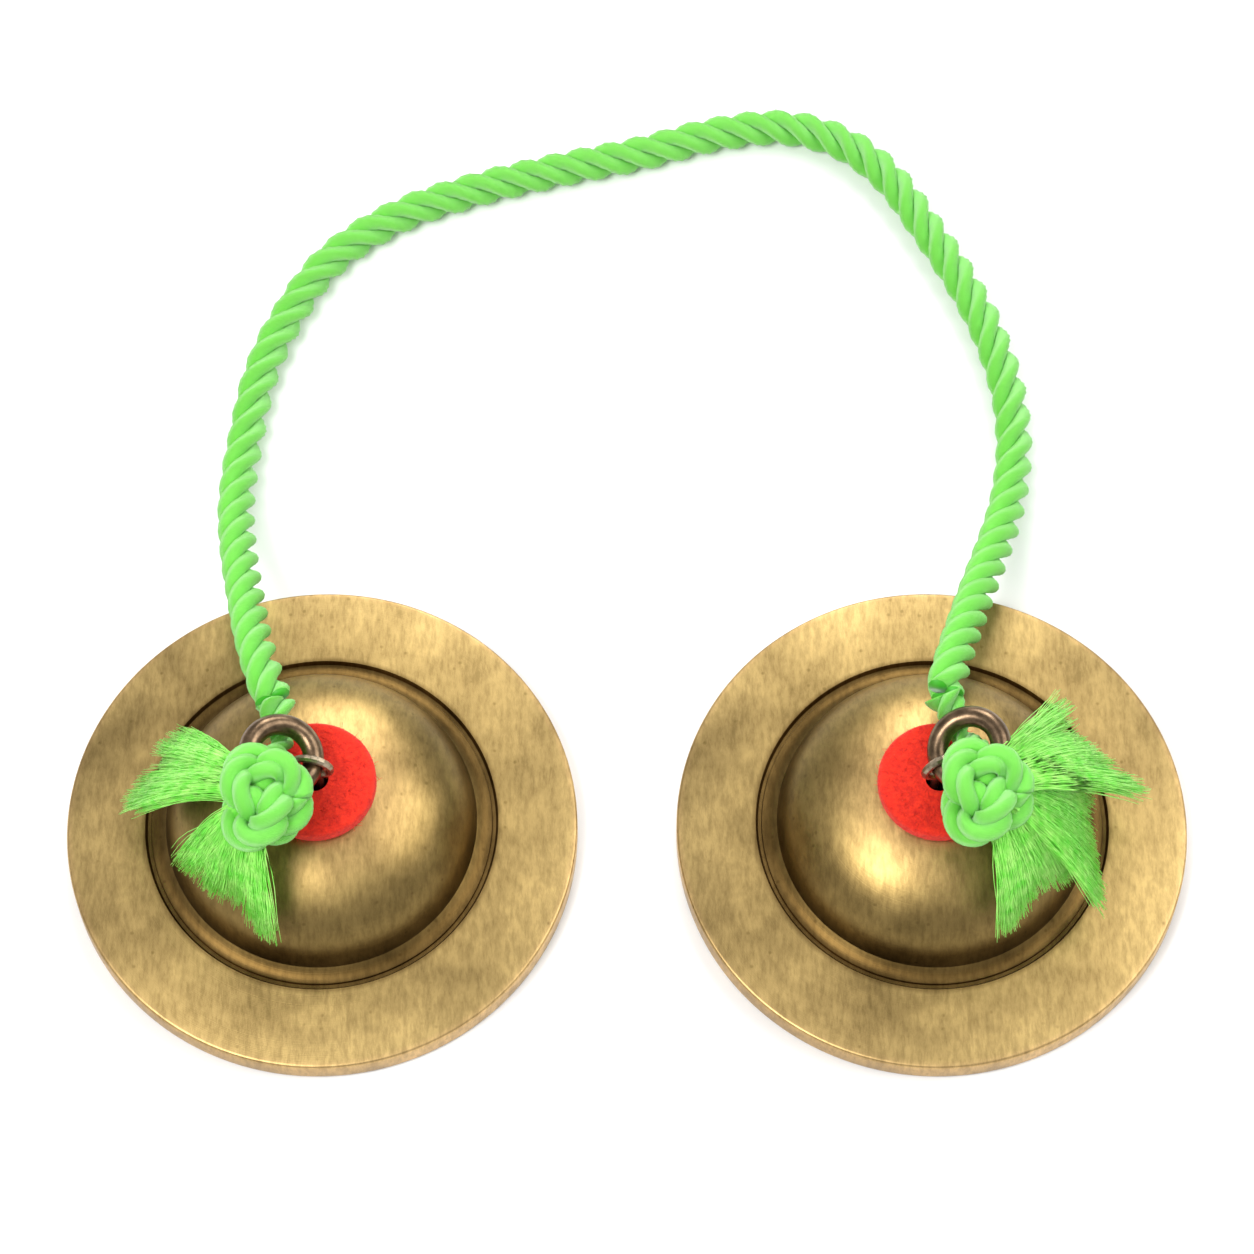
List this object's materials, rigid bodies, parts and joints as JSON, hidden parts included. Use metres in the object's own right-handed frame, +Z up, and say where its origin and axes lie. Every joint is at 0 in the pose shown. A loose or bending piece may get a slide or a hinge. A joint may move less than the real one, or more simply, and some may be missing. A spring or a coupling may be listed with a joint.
{
  "type": "manjira",
  "caption": "Pair of small turned brass hand cymbals with felt washers and rings, joined by a knotted green cord.",
  "frame": {"origin": "midway between the two cymbals, on the surface that their rims rest on", "axes": "+X from the left cymbal to the right one, +Y towards the cord, +Z up"},
  "size_m": [0.1404, 0.1357, 0.0315],
  "materials": {
    "brass": "satin",
    "red_felt": "matte",
    "dark_bronze": "satin",
    "wire": "satin",
    "green_cord": "matte"
  },
  "bodies": {
    "cord": {"cord": "green_cord"},
    "left_hanger": {"left_ring": "dark_bronze", "left_knot": "green_cord", "left_split_pin": "wire", "left_inner_washer": "brass", "left_tassel_1": "green_cord", "left_tassel_2": "green_cord"},
    "left_bell": {"left_cymbal": "brass", "left_felt_washer": "red_felt"},
    "right_hanger": {"right_ring": "dark_bronze", "right_knot": "green_cord", "right_split_pin": "wire", "right_inner_washer": "brass", "right_tassel_1": "green_cord", "right_tassel_2": "green_cord", "right_tassel_3": "green_cord"},
    "right_bell": {"right_cymbal": "brass", "right_felt_washer": "red_felt"}
  },
  "joints": [
    {"name": "left_cord_bend", "type": "hinge", "parent": "cord", "child": "left_hanger", "pos_m": [-0.0432, 0.009, 0.0241], "axis": [-1, 0, 0], "range_deg": [0, 60]},
    {"name": "left_cymbal_spin", "type": "hinge", "parent": "left_hanger", "child": "left_bell", "pos_m": [-0.0382, 0, 0], "axis": [0, 0, 1], "continuous": true},
    {"name": "right_cord_bend", "type": "hinge", "parent": "cord", "child": "right_hanger", "pos_m": [0.0388, 0.0096, 0.0253], "axis": [-1, 0, 0], "range_deg": [0, 60]},
    {"name": "right_cymbal_spin", "type": "hinge", "parent": "right_hanger", "child": "right_bell", "pos_m": [0.0382, 0, 0], "axis": [0, 0, 1], "continuous": true}
  ]
}
